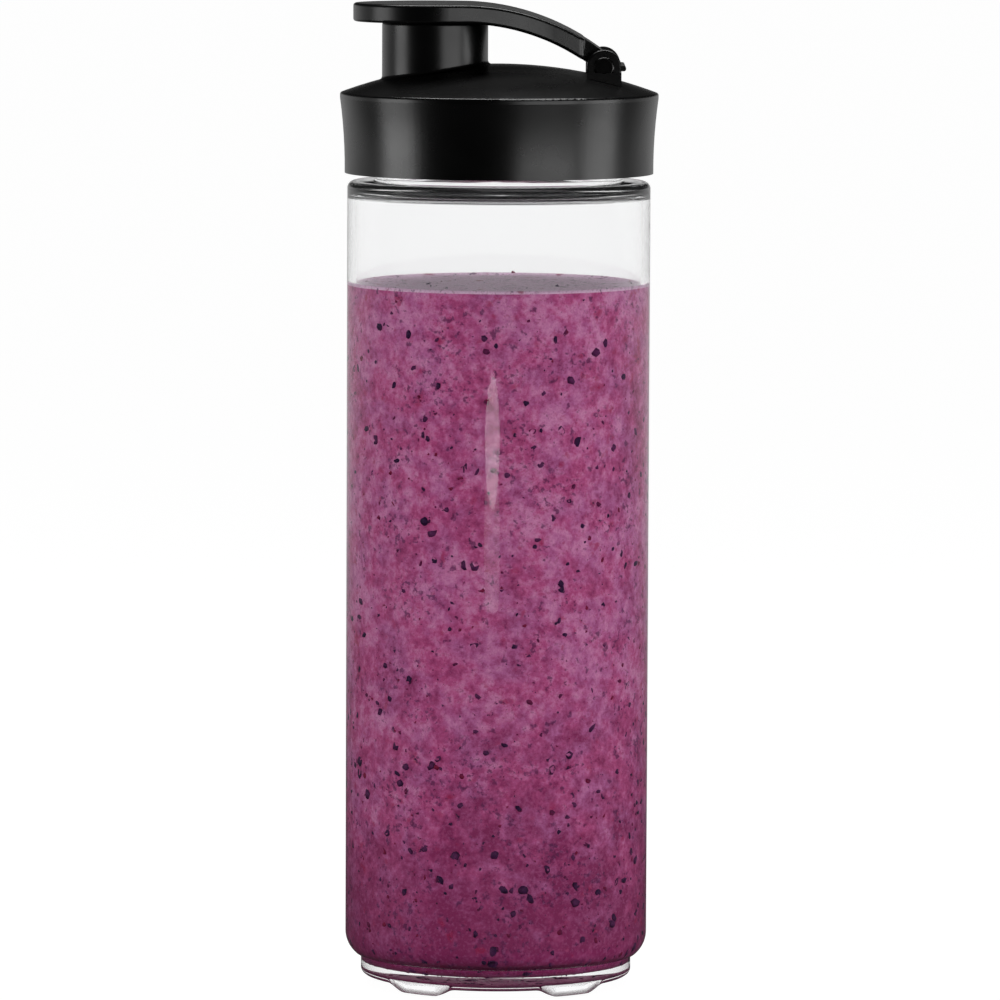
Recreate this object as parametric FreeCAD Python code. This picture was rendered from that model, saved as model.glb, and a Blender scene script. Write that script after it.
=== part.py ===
"""Drinking bottle of a personal blender: clear bottle, screw-on lid, flip cap on a hinged arm.

Millimetres. The origin is on the bottle's axis, on the surface it stands on. +Z is up, the
spout is on the -X side of the lid and the hinge on the +X side.
"""
import FreeCAD, Part
import math
import os

V = FreeCAD.Vector
UP = V(0, 0, 1)
ACROSS = V(0, 1, 0)

# Bottle
body_r = 36.05            # outside of the straight body
body_wall = 2.0
shoulder_z = 191.65       # flat shoulder that the lid stands over
shoulder_thick = 2.6
shoulder_round = 1.7
shoulder_width = 6.55     # from the body's outside in to the neck
floor_thick = 2.2
heel_r = 6.5              # the body turns in over the base ring on this radius
heel_deg = 50.0           # as far as this

# Base ring and feet
ring_inset = 3.75         # base ring stands in from the body
ring_height = 5.2
ring_width = 4.0
ring_recess = 0.9         # hollow under the floor, inside the ring
core_step = 1.0           # the inside steps in to the ring this far above the step outside
core_round = 1.0
core_floor_round = 2.5    # inside corner between the ring's wall and the floor
ring_round = 1.3          # lower outside edge, half of it inside the feet
recess_round = 1.0
foot_count = 5
foot_height = 1.75
foot_flat = 9.0           # width of a foot where it stands
foot_spread = 20.0        # width of a foot where it leaves the ring
foot_root = 0.5           # a foot is rooted this far above the ring's rounding
first_foot_deg = 36.0     # from the front, -Y, towards +X

# Neck and screw thread
neck_wall = 2.0
neck_height = 19.7
neck_round = 0.7
neck_root_round = 0.6
thread_pitch = 5.0
thread_depth = 1.1
thread_root = 2.8         # width of a ridge at its root
thread_crest = 1.3
thread_turns = 1.6
thread_start = 5.7        # lower end of the neck's ridge, above the shoulder
thread_gap = 0.4          # radial room between a crest and the wall facing it
thread_bite = 0.4         # a ridge's root is sunk this far in its wall

# Smoothie
fill_room = 24.0          # from the smoothie's top up to the shoulder
fill_film = 0.05

# Gasket
gasket_thick = 2.0
gasket_gap = 0.2
gasket_round = 0.3

# Lid
skirt_gap = 1.9           # open height between the shoulder and the skirt
skirt_overhang = 0.65     # the skirt's lower edge stands out past the body
skirt_flare = 1.15        # the skirt widens this much up to the rim
skirt_wall = 1.8
rim_drop = 0.8            # widest ring of the lid, below the gasket's seat
rim_round = 0.6
rim_band = 1.2            # upright part of the rim
rim_ledge = 1.6           # rounded part of the rim, in to the dome
dome_rise = 6.9
dome_thick = 2.2
plate_thick = 2.4         # top plate over the space between the two skirts
plate_round = 0.8
inner_skirt_wall = 1.8
inner_skirt_lift = 1.2    # inner skirt ends this far above the outer one
lip_height = 1.2          # ring that centres the gasket
lip_wall = 0.8
lip_root = 0.6

# Spout
spout_edge_gap = 0.9      # the bore stays this far inside the gasket's ring
spout_r = 12.6
spout_wall = 2.3
spout_height = 9.9        # above the top of the dome
spout_root_round = 0.9
spout_lip_round = 0.7

# Hinge
hinge_inset = 13.15       # hinge axis, in from the rim
hinge_drop = 0.3          # hinge axis, below the top of the dome
pin_r = 1.5
pin_run = 0.05            # running clearance of the knuckle on the pin
pin_head_step = 0.9       # a head stands out of the pin this much
pin_head_thick = 0.7
pin_head_round = 0.4
knuckle_wall = 1.2
knuckle_half = 8.7        # half width of the knuckle
knuckle_room = 0.35       # room round the knuckle in the dome
ear_gap = 0.3             # each side of the knuckle
ear_thick = 3.5
ear_reach = 1.35          # an ear stands out of the knuckle's outline
ear_round = 0.4
plinth_step = 0.8         # plinth stands out of the ear's outer face
plinth_drop = 1.3         # top of the plinth, below the hinge axis
ear_sink = 0.8            # ears and plinths are rooted this far in the dome
stop_depth = 1.1          # bar behind the ears that stops the open cap
stop_above = 0.35         # its top and its foot, from the hinge axis
stop_below = 0.9
stop_bite = 0.3           # the bar is rooted this far in the ears

# Flip cap
cap_gap = 0.1             # between the spout's rim and the closed cap
cap_seat_room = 0.4       # flat seat under the cap, round the spout
cap_thick = 4.4
head_brim = 6.85          # the round head stands out past the spout
flat_length = 6.5         # the head is flat this far past the spout's axis
arm_taper_deg = 10.0
arm_waist_back = 13.1     # the arm is slimmest this far ahead of the hinge
arm_waist_round = 30.0
arm_end_step = 1.5        # the arm's wide end stands out past the ears
arm_end_gap = 0.45        # between the wide arm and the ears
arm_corner_round = 1.5
cap_round = 0.7

# Spout seal
seal_depth = 3.5
seal_gap = 0.45           # at the cap
seal_taper = 0.8          # smaller again at its lower end, to swing out of the spout
seal_round = 0.5
boss_r = 3.0              # peg of the cap that holds the seal
boss_height = 2.2

cut_over = 1.0            # a cutting shape runs this far past what it cuts
bond = 0.5                # pieces of one moulding are sunk this far in each other

ring_r = body_r - ring_inset
ring_in_r = ring_r - ring_width
step_z = foot_height + ring_height
heel_turn = math.radians(heel_deg)
heel_middle_r = body_r - heel_r
heel_low_r = heel_middle_r + heel_r * math.cos(heel_turn)
heel_top_z = step_z + heel_r * math.sin(heel_turn)
recess_z = foot_height + ring_recess
floor_z = recess_z + floor_thick
body_in_r = body_r - body_wall
core_r = ring_r - body_wall
neck_r = body_r - shoulder_width
neck_in_r = neck_r - neck_wall
neck_top_z = shoulder_z + neck_height
fill_z = shoulder_z - fill_room
seat_z = neck_top_z + gasket_thick
bore_r = neck_r + thread_depth + thread_gap
inner_skirt_r = bore_r + inner_skirt_wall
skirt_r = body_r + skirt_overhang
skirt_z = shoulder_z + skirt_gap
inner_skirt_z = skirt_z + inner_skirt_lift
rim_r = skirt_r + skirt_flare
rim_z = seat_z - rim_drop
skirt_in_r = skirt_r - skirt_wall
dome_top_z = rim_z + dome_rise
dome_r = (rim_r ** 2 + dome_rise ** 2) / (2 * dome_rise)
lip_r = neck_in_r - gasket_gap - lip_wall
spout_in_r = spout_r - spout_wall
spout_x = spout_in_r + spout_edge_gap - lip_r
spout_top_z = dome_top_z + spout_height
hinge_x = rim_r - hinge_inset
hinge_z = dome_top_z - hinge_drop
pin_head_r = pin_r + pin_head_step
knuckle_r = pin_r + pin_run + knuckle_wall
ear_r = knuckle_r + ear_reach
ear_in = knuckle_half + ear_gap
ear_out = ear_in + ear_thick
cap_under_z = spout_top_z + cap_gap
cap_top_z = cap_under_z + cap_thick
head_r = spout_r + head_brim
bend_x = spout_x + flat_length
arm_slim_x = hinge_x - arm_waist_back
arm_end_half = ear_out + arm_end_step


class Outline:
    """A closed outline drawn corner by corner. A corner between two straight lines may be rounded."""

    def __init__(self, a, b, rounding=0.0):
        self.corners = [(V(a, b, 0), rounding, None)]

    def line(self, a, b, rounding=0.0):
        self.corners.append((V(a, b, 0), rounding, None))
        return self

    def arc(self, through_a, through_b, a, b):
        self.corners.append((V(a, b, 0), 0.0, V(through_a, through_b, 0)))
        return self

    def edges(self):
        count = len(self.corners)
        starts, ends, arcs = [], [], []
        for index, (corner, rounding, _) in enumerate(self.corners):
            if not rounding:
                starts.append(corner)
                ends.append(corner)
                continue
            back = (self.corners[index - 1][0] - corner).normalize()
            ahead = (self.corners[(index + 1) % count][0] - corner).normalize()
            half = back.getAngle(ahead) / 2
            reach = rounding / math.tan(half)
            middle = (back + ahead).normalize() * (rounding / math.sin(half) - rounding)
            ends.append(corner + back * reach)
            starts.append(corner + ahead * reach)
            arcs.append(Part.Arc(ends[-1], corner + middle, starts[-1]).toShape())
        for index in range(count):
            begin, end = starts[index - 1], ends[index]
            through = self.corners[index][2]
            if through is not None:
                arcs.append(Part.Arc(begin, through, end).toShape())
            elif begin.distanceToPoint(end) > 1e-6:
                arcs.append(Part.LineSegment(begin, end).toShape())
        return arcs

    def flat(self):
        """The outline as a face in the X-Y plane."""
        return Part.Face(Part.Wire(Part.__sortEdges__(self.edges())))

    def upright(self):
        """The outline as a face in the X-Z plane."""
        face = self.flat()
        face.rotate(V(0, 0, 0), V(1, 0, 0), 90)
        return face

    def turned(self, x=0.0):
        """The outline turned round an upright axis at x."""
        solid = self.upright().revolve(V(0, 0, 0), UP, 360)
        solid.translate(V(x, 0, 0))
        return solid


def upright_cylinder(radius, z_low, z_high, x=0.0):
    return Part.makeCylinder(radius, z_high - z_low, V(x, 0, z_low), UP)


def cross_cylinder(radius, y_low, y_high, x=hinge_x, z=hinge_z):
    return Part.makeCylinder(radius, y_high - y_low, V(x, y_low, z), ACROSS)


def box(x_low, x_high, y_low, y_high, z_low, z_high):
    return Part.makeBox(x_high - x_low, y_high - y_low, z_high - z_low, V(x_low, y_low, z_low))


def dome_z(radius, drop=0.0):
    """Height of the dome at a distance from the axis, or of a surface drop below it."""
    ball = dome_r - drop
    return dome_top_z - dome_r + math.sqrt(ball ** 2 - radius ** 2)


def thread_ridge(wall_r, outwards, start_z):
    """A helical ridge on a round wall, standing out of it or into it."""
    crest_r = wall_r + outwards * thread_depth
    sunk_r = wall_r - outwards * thread_bite
    crest = thread_crest / 2
    slope = (thread_root - thread_crest) / 2 / thread_depth
    root = crest + slope * (thread_depth + thread_bite)
    corners = [V(sunk_r, 0, -root), V(crest_r, 0, -crest), V(crest_r, 0, crest), V(sunk_r, 0, root)]
    section = Part.makePolygon(corners + corners[:1])
    path = Part.makeHelix(thread_pitch, thread_pitch * thread_turns, wall_r)
    ridge = Part.Wire(path).makePipeShell([section], True, True)
    ridge.translate(V(0, 0, start_z))
    return ridge


def at_foot(shape, index):
    """A copy of what is drawn at the front, -Y, turned to one of the feet."""
    copy = shape.copy()
    copy.rotate(V(0, 0, 0), UP, first_foot_deg + index * 360.0 / foot_count)
    return copy


def make_feet():
    top_z = foot_height + ring_round + foot_root
    ring = Outline(ring_in_r, 0, ring_round / 2).line(ring_r, 0, ring_round)
    ring = ring.line(ring_r, top_z).line(ring_in_r, top_z).turned()
    flat, spread = foot_flat / 2, foot_spread / 2
    block = Outline(-flat, 0).line(flat, 0).line(spread, foot_height).line(spread, top_z)
    block = block.line(-spread, top_z).line(-spread, foot_height).upright()
    foot = ring.common(block.extrude(V(0, -body_r, 0)))
    return [at_foot(foot, index) for index in range(foot_count)]


def draw_base_inside(outline, film=0.0):
    """Goes on down the inside of the body, heel and base ring to the axis, a film inside of them."""
    radius = heel_r - body_wall - film
    half = heel_turn / 2
    outline.line(heel_middle_r + radius, heel_top_z)
    outline.arc(heel_middle_r + radius * math.cos(half), heel_top_z - radius * math.sin(half),
                heel_middle_r + radius * math.cos(heel_turn),
                heel_top_z - radius * math.sin(heel_turn))
    outline.line(core_r - film, step_z + core_step + film, core_round)
    outline.line(core_r - film, floor_z + film, core_floor_round)
    return outline.line(0, floor_z + film)


def make_bottle():
    inside_top_z = shoulder_z - shoulder_thick
    mid_heel_r = heel_middle_r + heel_r * math.cos(heel_turn / 2)
    mid_heel_z = heel_top_z - heel_r * math.sin(heel_turn / 2)
    wall = Outline(0, recess_z).line(ring_in_r, recess_z, recess_round)
    wall = wall.line(ring_in_r, foot_height, ring_round / 2).line(ring_r, foot_height, ring_round)
    wall = wall.line(ring_r, step_z).line(heel_low_r, step_z)
    wall = wall.arc(mid_heel_r, mid_heel_z, body_r, heel_top_z)
    wall = wall.line(body_r, shoulder_z, shoulder_round).line(neck_r, shoulder_z, neck_root_round)
    wall = wall.line(neck_r, neck_top_z, neck_round).line(neck_in_r, neck_top_z, neck_round)
    wall = wall.line(neck_in_r, inside_top_z, neck_root_round)
    wall = draw_base_inside(wall.line(body_in_r, inside_top_z, shoulder_round)).turned()
    ridge = thread_ridge(neck_r, 1, shoulder_z + thread_start)
    return wall.fuse(make_feet() + [ridge]).removeSplitter()


def make_smoothie():
    filling = Outline(0, fill_z).line(body_in_r - fill_film, fill_z)
    return draw_base_inside(filling, fill_film).turned()


def make_gasket():
    inside_r, outside_r = neck_in_r - gasket_gap, bore_r - gasket_gap
    ring = Outline(inside_r, neck_top_z, gasket_round).line(outside_r, neck_top_z, gasket_round)
    return ring.line(outside_r, seat_z, gasket_round).line(inside_r, seat_z, gasket_round).turned()


def lid_outside():
    """The lid as a full body, before it is hollowed."""
    edge_r = rim_r - rim_ledge
    skirt_mid_z = (skirt_z + rim_z) / 2
    shell = Outline(0, skirt_z).line(skirt_r, skirt_z)
    shell = shell.arc(skirt_r + skirt_flare / 4, skirt_mid_z, rim_r, rim_z - rim_band)
    shell = shell.line(rim_r, rim_z, rim_round).line(edge_r, dome_z(edge_r))
    return shell.arc(edge_r / 2, dome_z(edge_r / 2), 0, dome_top_z).turned()


def lid_hollow():
    """Everything that is open inside the lid: under the dome, inside and between the skirts."""
    low_z = skirt_z - cut_over
    lip_z = seat_z - lip_height
    under_r = lip_r - lip_root
    between = Outline(inner_skirt_r, low_z).line(skirt_in_r, low_z)
    between = between.line(skirt_in_r, dome_z(skirt_in_r, plate_thick), plate_round)
    between = between.line(inner_skirt_r, dome_z(inner_skirt_r, plate_thick), plate_round).turned()
    below = Outline(0, low_z).line(skirt_in_r, low_z).line(skirt_in_r, inner_skirt_z)
    below = below.line(bore_r, inner_skirt_z).line(bore_r, seat_z).line(lip_r + lip_wall, seat_z)
    below = below.line(lip_r + lip_wall, lip_z, gasket_round).line(lip_r, lip_z, gasket_round)
    below = below.line(lip_r, seat_z + lip_root).line(under_r, dome_z(under_r, dome_thick))
    below = below.arc(under_r / 2, dome_z(under_r / 2, dome_thick), 0, dome_z(0, dome_thick))
    return [between, below.turned()]


def make_ear(low, high, outer_y, base_z):
    """An upright plate with a round top about the hinge axis, rounded along its outer face."""
    left, right = hinge_x - ear_r, hinge_x + ear_r
    plate = Outline(left, base_z).line(right, base_z).line(right, hinge_z)
    plate = plate.arc(hinge_x, hinge_z + ear_r, left, hinge_z).upright()
    plate.translate(V(0, low, 0))
    plate = plate.extrude(V(0, high - low, 0))
    rim = [edge for edge in plate.Edges if edge.BoundBox.ZMax > base_z + 0.01
           and abs(edge.BoundBox.YMin - outer_y) < 0.01 and abs(edge.BoundBox.YMax - outer_y) < 0.01]
    return plate.makeFillet(ear_round, rim)


def make_ears():
    """Two ears with their plinths, and the stop bar that joins them."""
    plinth_out = ear_out + plinth_step
    base_z = dome_z(math.hypot(hinge_x + ear_r, plinth_out)) - ear_sink
    pieces = []
    for low, high, outer_y in ((-ear_out, -ear_in, -ear_out), (ear_in, ear_out, ear_out)):
        pieces.append(make_ear(low, high, outer_y, base_z))
    for low, high in ((-plinth_out, -ear_in), (ear_in, plinth_out)):
        pieces.append(box(hinge_x - ear_r, hinge_x + ear_r, low, high, base_z, hinge_z - plinth_drop))
    front, back = hinge_x + ear_r - stop_bite, hinge_x + ear_r + stop_depth
    stop = box(front, back, -ear_out, ear_out, hinge_z - stop_below, hinge_z + stop_above)
    back_edges = [edge for edge in stop.Edges
                  if edge.BoundBox.XMin > back - 0.01 and edge.BoundBox.YLength > 1]
    return pieces + [stop.makeFillet(stop_depth / 2, back_edges)]


def spout_root_edges(lid):
    """The edge where the spout's outside meets the dome."""
    found = []
    for edge in lid.Edges:
        span = edge.BoundBox
        round_spout = abs(span.XMin - (spout_x - spout_r)) < 0.05 and span.YLength > spout_r
        if round_spout and span.ZMax < dome_top_z + 0.05:
            found.append(edge)
    return found


def make_lid():
    spout = Outline(0, dome_z(0) - 4 * dome_thick).line(spout_r, dome_z(0) - 4 * dome_thick)
    spout = spout.line(spout_r, spout_top_z, spout_lip_round).line(0, spout_top_z)
    lid = lid_outside().fuse([spout.turned(spout_x)]).removeSplitter()
    lid = lid.makeFillet(spout_root_round, spout_root_edges(lid))
    pocket = cross_cylinder(knuckle_r + knuckle_room, -ear_in, ear_in)
    lid = lid.cut([pocket]).fuse(make_ears())
    drink_way = Outline(0, skirt_z).line(spout_in_r, skirt_z)
    drink_way = drink_way.line(spout_in_r, spout_top_z).line(0, spout_top_z).turned(spout_x)
    pin_hole = cross_cylinder(pin_r, -ear_out - cut_over, ear_out + cut_over)
    lid = lid.cut(lid_hollow() + [drink_way, pin_hole]).removeSplitter()
    return lid.fuse([thread_ridge(bore_r, -1, shoulder_z + thread_start + thread_pitch / 2)])


def make_hinge_pin():
    """A pin with a low head at each end. The heads are cut flat below and rest on the plinths."""
    half = ear_out + pin_head_thick
    pieces = [cross_cylinder(pin_r, -half + bond, half - bond)]
    for low, high, outer_y in ((-half, -ear_out, -half), (ear_out, half, half)):
        head = cross_cylinder(pin_head_r, low, high)
        rim = [edge for edge in head.Edges if abs(edge.BoundBox.YMin - outer_y) < 0.01
               and abs(edge.BoundBox.YMax - outer_y) < 0.01]
        pieces.append(head.makeFillet(pin_head_round, rim))
    plinth_z = hinge_z - plinth_drop
    reach = half + cut_over
    below = box(hinge_x - ear_r, hinge_x + ear_r, -reach, reach, plinth_z - ear_r, plinth_z)
    under_heads = [below.common(box(-body_r, body_r, low, high, 0, hinge_z))
                   for low, high in ((-reach, -ear_out), (ear_out, reach))]
    return pieces[0].fuse(pieces[1:]).cut(under_heads).removeSplitter()


def arm_curve():
    """Radius of the arm's top, and the direction in which it touches the knuckle.

    The curve leaves the flat head at bend_x and touches the knuckle from outside.
    """
    along, down = hinge_x - bend_x, cap_top_z - hinge_z
    radius = (along ** 2 + down ** 2 - knuckle_r ** 2) / (2 * (down - knuckle_r))
    middle = V(bend_x, cap_top_z - radius, 0)
    touch = (V(hinge_x, hinge_z, 0) - middle).normalize()
    return radius, middle, touch


def cap_side():
    """The cap and arm seen from the side, one plate of even thickness, across the full width."""
    radius, middle, touch = arm_curve()
    halfway = (V(0, 1, 0) + touch).normalize()
    top_end, top_half = middle + touch * radius, middle + halfway * radius
    low_end, low_half = middle + touch * (radius - cap_thick), middle + halfway * (radius - cap_thick)
    left = spout_x - head_r - cut_over
    side = Outline(left, cap_under_z).line(left, cap_top_z).line(bend_x, cap_top_z)
    side = side.arc(top_half.x, top_half.y, top_end.x, top_end.y).line(low_end.x, low_end.y)
    side = side.arc(low_half.x, low_half.y, bend_x, cap_under_z).upright()
    side.translate(V(0, -head_r - cut_over, 0))
    return side.extrude(V(0, 2 * (head_r + cut_over), 0))


def cap_plan():
    """The cap and arm seen from above: round head, tapered arm, and a tongue between the ears."""
    taper = math.radians(arm_taper_deg)
    leave_x = spout_x + head_r * math.sin(taper)
    leave_y = head_r * math.cos(taper)
    slim_y = leave_y - (arm_slim_x - leave_x) * math.tan(taper)
    end_x = hinge_x - ear_r - arm_end_gap
    tongue_x = hinge_x + knuckle_r + cut_over
    plan = Outline(leave_x, leave_y).arc(spout_x - head_r, 0, leave_x, -leave_y)
    plan = plan.line(arm_slim_x, -slim_y, arm_waist_round).line(end_x, -arm_end_half, arm_corner_round)
    plan = plan.line(end_x, -knuckle_half).line(tongue_x, -knuckle_half)
    plan = plan.line(tongue_x, knuckle_half).line(end_x, knuckle_half)
    plan = plan.line(end_x, arm_end_half, arm_corner_round).line(arm_slim_x, slim_y, arm_waist_round).flat()
    plan.translate(V(0, 0, hinge_z - 2 * knuckle_r))
    return plan.extrude(V(0, 0, cap_top_z - hinge_z + 4 * knuckle_r))


def rim_edges(plate):
    """The edges round the head and the wide arm, on the plate's top and on its underside."""
    radius, middle, _ = arm_curve()
    found = []
    for edge in plate.Edges:
        point = edge.valueAt((edge.FirstParameter + edge.LastParameter) / 2)
        if point.x < bend_x:
            depth = cap_top_z - point.z
        else:
            depth = radius - math.hypot(point.x - middle.x, point.z - middle.y)
        on_face = min(abs(depth), abs(depth - cap_thick)) < 0.02
        if on_face and (abs(point.y) > knuckle_half + 0.01 or point.x < bend_x - 0.01):
            found.append(edge)
    return found


def make_flip_cap():
    plate = cap_side().common(cap_plan())
    plate = plate.makeFillet(cap_round, rim_edges(plate))
    knuckle = cross_cylinder(knuckle_r, -knuckle_half, knuckle_half)
    over_spout = upright_cylinder(spout_r + cap_seat_room, cap_under_z - cap_thick, cap_under_z, spout_x)
    boss = upright_cylinder(boss_r, cap_under_z - boss_height, cap_under_z + bond, spout_x)
    bore = cross_cylinder(pin_r + pin_run, -ear_in, ear_in)
    return plate.cut([over_spout]).fuse([knuckle, boss]).removeSplitter().cut([bore])


def make_spout_seal():
    top_r = spout_in_r - seal_gap
    low_z = cap_under_z - seal_depth
    plug = Outline(0, low_z).line(top_r - seal_taper, low_z, seal_round)
    plug = plug.line(top_r, cap_under_z).line(boss_r, cap_under_z)
    plug = plug.line(boss_r, cap_under_z - boss_height).line(0, cap_under_z - boss_height)
    return plug.turned(spout_x)


nodes = {
    "bottle": make_bottle,
    "smoothie": make_smoothie,
    "lid_gasket": make_gasket,
    "lid": make_lid,
    "hinge_pin": make_hinge_pin,
    "flip_cap": make_flip_cap,
    "spout_seal": make_spout_seal,
}

os.makedirs("parts", exist_ok=True)
for node, make in nodes.items():
    shape = make()
    shape.exportStep(f"parts/{node}.step")
    print(node, round(shape.Volume / 1000, 2), "cm3")
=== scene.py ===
"""Clear drinking bottle full of berry smoothie, with a black screw-on lid and a hinged flip cap.

Metres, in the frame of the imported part: the origin is on the bottle's axis, on the surface it
stands on, +Z is up, the spout is on the -X side and the hinge on the +X side.
"""
import logging
import math
from dataclasses import dataclass, field
from enum import Enum

import bpy
from mathutils import Matrix, Vector, noise


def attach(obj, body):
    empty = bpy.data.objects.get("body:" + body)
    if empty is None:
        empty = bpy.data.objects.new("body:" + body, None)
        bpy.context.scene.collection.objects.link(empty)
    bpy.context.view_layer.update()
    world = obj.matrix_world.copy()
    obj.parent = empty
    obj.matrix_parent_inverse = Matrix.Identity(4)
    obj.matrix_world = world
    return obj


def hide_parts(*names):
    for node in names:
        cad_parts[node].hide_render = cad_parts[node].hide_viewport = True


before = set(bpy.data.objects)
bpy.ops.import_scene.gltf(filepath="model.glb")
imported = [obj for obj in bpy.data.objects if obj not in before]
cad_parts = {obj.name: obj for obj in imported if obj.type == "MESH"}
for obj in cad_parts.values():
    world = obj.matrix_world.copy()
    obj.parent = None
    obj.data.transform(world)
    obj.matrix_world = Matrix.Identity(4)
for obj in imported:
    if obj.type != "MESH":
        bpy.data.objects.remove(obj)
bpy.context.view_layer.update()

MM = 0.001
log = logging.getLogger("smoothie_bottle")

Colour = tuple[float, float, float]
Ring = tuple[float, float]

WHITE = (1.0, 1.0, 1.0, 1.0)
NEAR = 1e-4


class Slot(Enum):
    """The record's material slots."""

    CLEAR = "clear_plastic"
    SMOOTHIE = "smoothie"
    SILICONE = "silicone"
    BLACK = "black_plastic"
    PIN = "pin_plastic"


# ---------------------------------------------------------------- node trees


@dataclass(frozen=True)
class Pattern:
    """A noise pattern, and the values between which its mask rises from 0 to 1."""

    waves_per_metre: float
    octaves: float
    rough: float
    low: float = 0.0
    high: float = 1.0


class Tree:
    """Adds nodes to one node tree and joins them."""

    def __init__(self, tree: bpy.types.NodeTree) -> None:
        """Start from an empty tree.

        Args:
            tree: the tree to fill.
        """
        self.tree = tree
        tree.nodes.clear()

    def add(self, kind: str, inputs: dict | None = None, **settings: object) -> bpy.types.Node:
        """Add a node.

        Args:
            kind: the node's type name.
            inputs: input name or number, to a value or to the socket that feeds it.
            settings: attributes of the node itself.

        Returns:
            The new node.
        """
        node = self.tree.nodes.new(kind)
        for name, value in settings.items():
            setattr(node, name, value)
        for name, value in (inputs or {}).items():
            if isinstance(value, bpy.types.NodeSocket):
                self.tree.links.new(value, node.inputs[name])
            else:
                node.inputs[name].default_value = value
        return node

    def math(self, operation: str, *values: object, clamp: bool = False) -> bpy.types.NodeSocket:
        """Work a number out from others.

        Args:
            operation: the Math node's operation.
            values: numbers or sockets, in the node's order.
            clamp: keep the result between 0 and 1.

        Returns:
            The result's socket.
        """
        inputs = dict(enumerate(values))
        node = self.add("ShaderNodeMath", inputs, operation=operation, use_clamp=clamp)
        return node.outputs[0]

    def ramp(self, source: bpy.types.NodeSocket, low: float, high: float) -> bpy.types.NodeSocket:
        """Turn a value into a mask that rises smoothly from 0 at low to 1 at high.

        Args:
            source: the value.
            low: where the mask is 0.
            high: where the mask is 1.

        Returns:
            The mask's socket.
        """
        inputs = {"Value": source, "From Min": low, "From Max": high}
        return self.add("ShaderNodeMapRange", inputs, interpolation_type="SMOOTHSTEP").outputs[0]

    def blend(self, mask: object, first: object, second: object) -> bpy.types.NodeSocket:
        """Mix two colours.

        Args:
            mask: 0 gives the first colour and 1 the second.
            first: a colour or a socket.
            second: a colour or a socket.

        Returns:
            The mixed colour's socket.
        """
        node = self.add("ShaderNodeMix", {0: mask}, data_type="RGBA")
        for index, value in ((6, first), (7, second)):
            if isinstance(value, bpy.types.NodeSocket):
                self.tree.links.new(value, node.inputs[index])
            else:
                node.inputs[index].default_value = (*value, 1.0)
        return node.outputs[2]

    def noise(self, where: bpy.types.NodeSocket, pattern: Pattern) -> bpy.types.NodeSocket:
        """Add a noise pattern.

        Args:
            where: coordinates in metres.
            pattern: its fineness.

        Returns:
            The noise value's socket.
        """
        inputs = {"Vector": where, "Scale": pattern.waves_per_metre, "Detail": pattern.octaves,
                  "Roughness": pattern.rough}
        return self.add("ShaderNodeTexNoise", inputs).outputs[0]

    def spots(self, where: bpy.types.NodeSocket, pattern: Pattern) -> bpy.types.NodeSocket:
        """Add a noise pattern and turn it into a mask of spots.

        Args:
            where: coordinates in metres.
            pattern: its fineness and the values between which the mask rises.

        Returns:
            The mask's socket.
        """
        return self.ramp(self.noise(where, pattern), pattern.low, pattern.high)


def new_group(name: str, inputs: dict[str, float],
              outputs: tuple[str, ...]) -> tuple[bpy.types.NodeTree, Tree, bpy.types.Node]:
    """Start a shader node group that takes coordinates and numbers and puts out numbers.

    Args:
        name: the group's name.
        inputs: each number's name and default.
        outputs: the outputs' names.

    Returns:
        The group, its tree and its input node.
    """
    group = bpy.data.node_groups.new(name, "ShaderNodeTree")
    group.interface.new_socket("Where", in_out="INPUT", socket_type="NodeSocketVector")
    for label, default in inputs.items():
        socket = group.interface.new_socket(label, in_out="INPUT", socket_type="NodeSocketFloat")
        socket.default_value = default
    for label in outputs:
        group.interface.new_socket(label, in_out="OUTPUT", socket_type="NodeSocketFloat")
    tree = Tree(group)
    return group, tree, tree.add("NodeGroupInput")


def moulded_skin_group() -> bpy.types.NodeTree:
    """The fine matt texture of a moulded surface.

    Returns:
        A group with the outputs Height and Mask.
    """
    inputs = {"Grain per Metre": 2500.0, "Flow per Metre": 60.0}
    group, tree, source = new_group("moulded_skin", inputs, ("Height", "Mask"))
    where, grain_scale, flow_scale = source.outputs[:3]
    grain = tree.add("ShaderNodeTexNoise", {"Vector": where, "Scale": grain_scale, "Detail": 2.0})
    flow = tree.add("ShaderNodeTexNoise", {"Vector": where, "Scale": flow_scale, "Detail": 3.0})
    mixed = tree.math("MULTIPLY_ADD", flow.outputs[0], 0.6, grain.outputs[0])
    mask = tree.ramp(flow.outputs[0], 0.35, 0.7)
    tree.add("NodeGroupOutput", {"Height": mixed, "Mask": mask})
    return group


def handling_group() -> bpy.types.NodeTree:
    """Faint marks that hands and washing leave: soft smears, and a few fine dust specks.

    Returns:
        A group with the outputs Smears and Dust.
    """
    inputs = {"Smears per Metre": 35.0, "Dust per Metre": 700.0}
    group, tree, source = new_group("handling", inputs, ("Smears", "Dust"))
    where, smear_scale, dust_scale = source.outputs[:3]
    smears = tree.add("ShaderNodeTexNoise", {"Vector": where, "Scale": smear_scale, "Detail": 4.0,
                                             "Distortion": 0.8})
    dust = tree.add("ShaderNodeTexVoronoi", {"Vector": where, "Scale": dust_scale})
    smear_mask = tree.ramp(smears.outputs[0], 0.45, 0.75)
    dust_mask = tree.ramp(dust.outputs["Distance"], 0.10, 0.03)
    tree.add("NodeGroupOutput", {"Smears": smear_mask, "Dust": dust_mask})
    return group


# ---------------------------------------------------------------- finishes


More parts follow.
